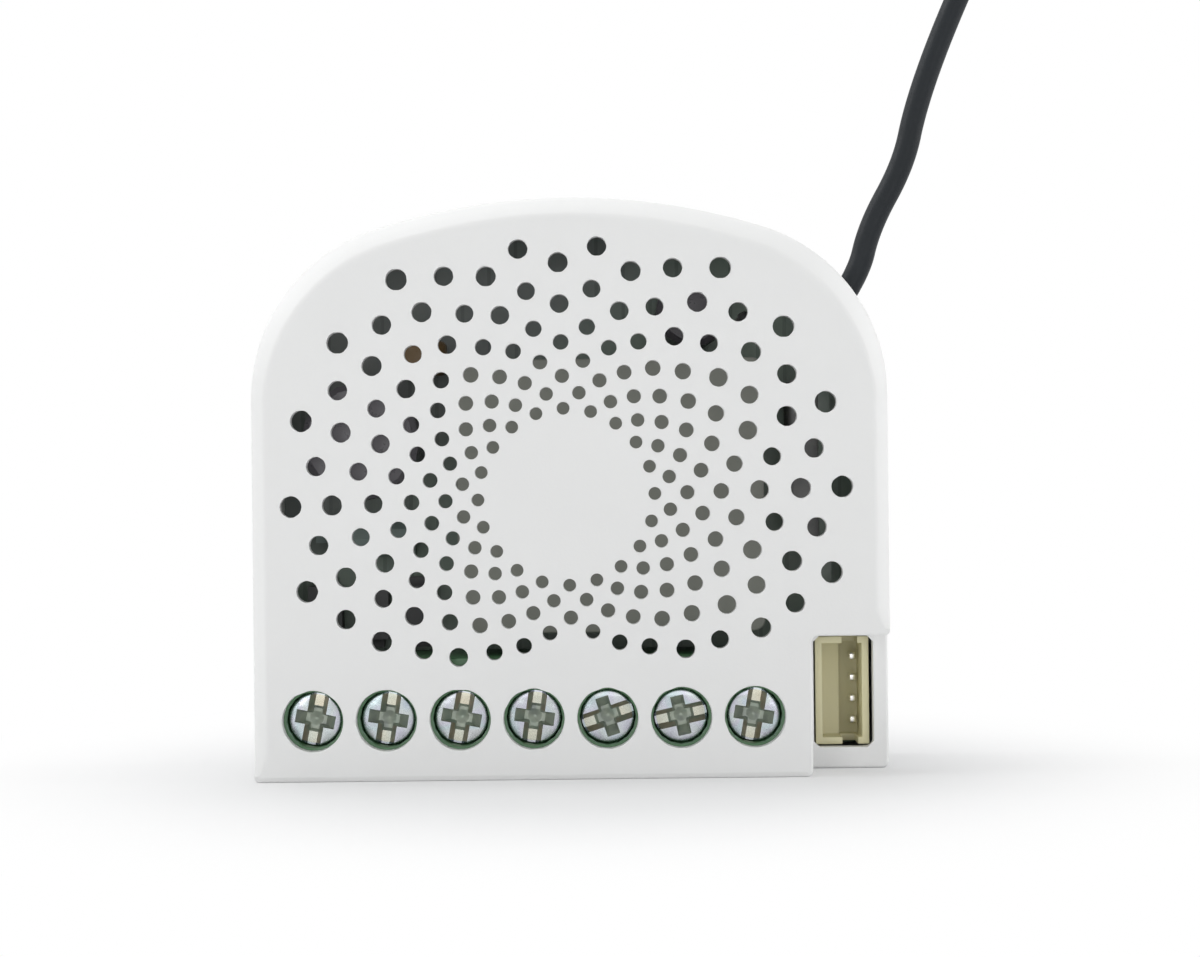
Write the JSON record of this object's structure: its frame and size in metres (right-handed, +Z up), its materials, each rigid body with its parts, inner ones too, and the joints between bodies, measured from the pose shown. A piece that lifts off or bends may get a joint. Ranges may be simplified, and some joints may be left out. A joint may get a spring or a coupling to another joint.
{
  "type": "digital input module",
  "caption": "Flush-mounted input module: arched vented case, row of screw clamps along the foot, small pin header in a stepped corner and a free wire aerial.",
  "frame": {"origin": "middle of the case's footprint, on the surface it stands on", "axes": "+Z up from the terminal side to the crown, +X to the right seen from the vented face, +Y from the vented face to the plain back"},
  "size_m": [0.0613, 0.017, 0.1063],
  "materials": {
    "case_white": "fine matt moulded plastic, warm white",
    "board_green": "green solder resist",
    "block_green": "green moulded terminal plastic",
    "screw_zinc": "blue-white passivated zinc",
    "cage_zinc": "zinc-plated folded steel",
    "contact_tin": "tin-plated brass",
    "header_ivory": "ivory nylon",
    "pin_tin": "tin-plated square pins",
    "supply_grey": "grey potting case",
    "disc_orange": "orange dipped coating",
    "fuse_grey": "cement-coated resistor",
    "sleeve_black": "shrunk black sleeve",
    "shield_tin": "tinned sheet",
    "chip_black": "moulded chip package",
    "wire_black": "satin black insulation"
  },
  "bodies": {
    "case": {"front_cover": "case_white", "rear_shell": "case_white", "main_board": "board_green", "terminal_block": "block_green", "terminal_contacts": "contact_tin", "header_housing": "header_ivory", "header_pins": "pin_tin", "power_supply": "supply_grey", "surge_disc": "disc_orange", "fuse_resistor": "fuse_grey", "bulk_capacitor": "sleeve_black", "filter_capacitor": "sleeve_black", "radio_board": "board_green", "radio_shield": "shield_tin", "input_isolators": "chip_black", "controller_chip": "chip_black", "crystal": "shield_tin", "trim_parts": "chip_black", "aerial_wire": "wire_black"},
    "screw_1": {"terminal_screw_1": "screw_zinc"},
    "cage_1": {"clamp_cage_1": "cage_zinc"},
    "screw_2": {"terminal_screw_2": "screw_zinc"},
    "cage_2": {"clamp_cage_2": "cage_zinc"},
    "screw_3": {"terminal_screw_3": "screw_zinc"},
    "cage_3": {"clamp_cage_3": "cage_zinc"},
    "screw_4": {"terminal_screw_4": "screw_zinc"},
    "cage_4": {"clamp_cage_4": "cage_zinc"},
    "screw_5": {"terminal_screw_5": "screw_zinc"},
    "cage_5": {"clamp_cage_5": "cage_zinc"},
    "screw_6": {"terminal_screw_6": "screw_zinc"},
    "cage_6": {"clamp_cage_6": "cage_zinc"},
    "screw_7": {"terminal_screw_7": "screw_zinc"},
    "cage_7": {"clamp_cage_7": "cage_zinc"}
  },
  "joints": [
    {"name": "screw_1_turn", "type": "hinge", "parent": "case", "child": "screw_1", "pos_m": [-0.01761, -0.0065, 0.00412], "axis": [0, 1, 0], "range_deg": [0, 1440]},
    {"name": "cage_1_rise", "type": "slide", "parent": "case", "child": "cage_1", "axis": [0, -1, 0], "range_m": [0, 0.0018]},
    {"name": "screw_2_turn", "type": "hinge", "parent": "case", "child": "screw_2", "pos_m": [-0.01261, -0.0065, 0.00412], "axis": [0, 1, 0], "range_deg": [0, 1440]},
    {"name": "cage_2_rise", "type": "slide", "parent": "case", "child": "cage_2", "axis": [0, -1, 0], "range_m": [0, 0.0018]},
    {"name": "screw_3_turn", "type": "hinge", "parent": "case", "child": "screw_3", "pos_m": [-0.00761, -0.0065, 0.00412], "axis": [0, 1, 0], "range_deg": [0, 1440]},
    {"name": "cage_3_rise", "type": "slide", "parent": "case", "child": "cage_3", "axis": [0, -1, 0], "range_m": [0, 0.0018]},
    {"name": "screw_4_turn", "type": "hinge", "parent": "case", "child": "screw_4", "pos_m": [-0.00261, -0.0065, 0.00412], "axis": [0, 1, 0], "range_deg": [0, 1440]},
    {"name": "cage_4_rise", "type": "slide", "parent": "case", "child": "cage_4", "axis": [0, -1, 0], "range_m": [0, 0.0018]},
    {"name": "screw_5_turn", "type": "hinge", "parent": "case", "child": "screw_5", "pos_m": [0.00239, -0.0065, 0.00412], "axis": [0, 1, 0], "range_deg": [0, 1440]},
    {"name": "cage_5_rise", "type": "slide", "parent": "case", "child": "cage_5", "axis": [0, -1, 0], "range_m": [0, 0.0018]},
    {"name": "screw_6_turn", "type": "hinge", "parent": "case", "child": "screw_6", "pos_m": [0.00739, -0.0065, 0.00412], "axis": [0, 1, 0], "range_deg": [0, 1440]},
    {"name": "cage_6_rise", "type": "slide", "parent": "case", "child": "cage_6", "axis": [0, -1, 0], "range_m": [0, 0.0018]},
    {"name": "screw_7_turn", "type": "hinge", "parent": "case", "child": "screw_7", "pos_m": [0.01239, -0.0065, 0.00412], "axis": [0, 1, 0], "range_deg": [0, 1440]},
    {"name": "cage_7_rise", "type": "slide", "parent": "case", "child": "cage_7", "axis": [0, -1, 0], "range_m": [0, 0.0018]}
  ],
  "couplings": [
    {"joint": "screw_1_turn", "follows": "cage_1_rise", "rad_per_m": 13963},
    {"joint": "screw_2_turn", "follows": "cage_2_rise", "rad_per_m": 13963},
    {"joint": "screw_3_turn", "follows": "cage_3_rise", "rad_per_m": 13963},
    {"joint": "screw_4_turn", "follows": "cage_4_rise", "rad_per_m": 13963},
    {"joint": "screw_5_turn", "follows": "cage_5_rise", "rad_per_m": 13963},
    {"joint": "screw_6_turn", "follows": "cage_6_rise", "rad_per_m": 13963},
    {"joint": "screw_7_turn", "follows": "cage_7_rise", "rad_per_m": 13963}
  ]
}
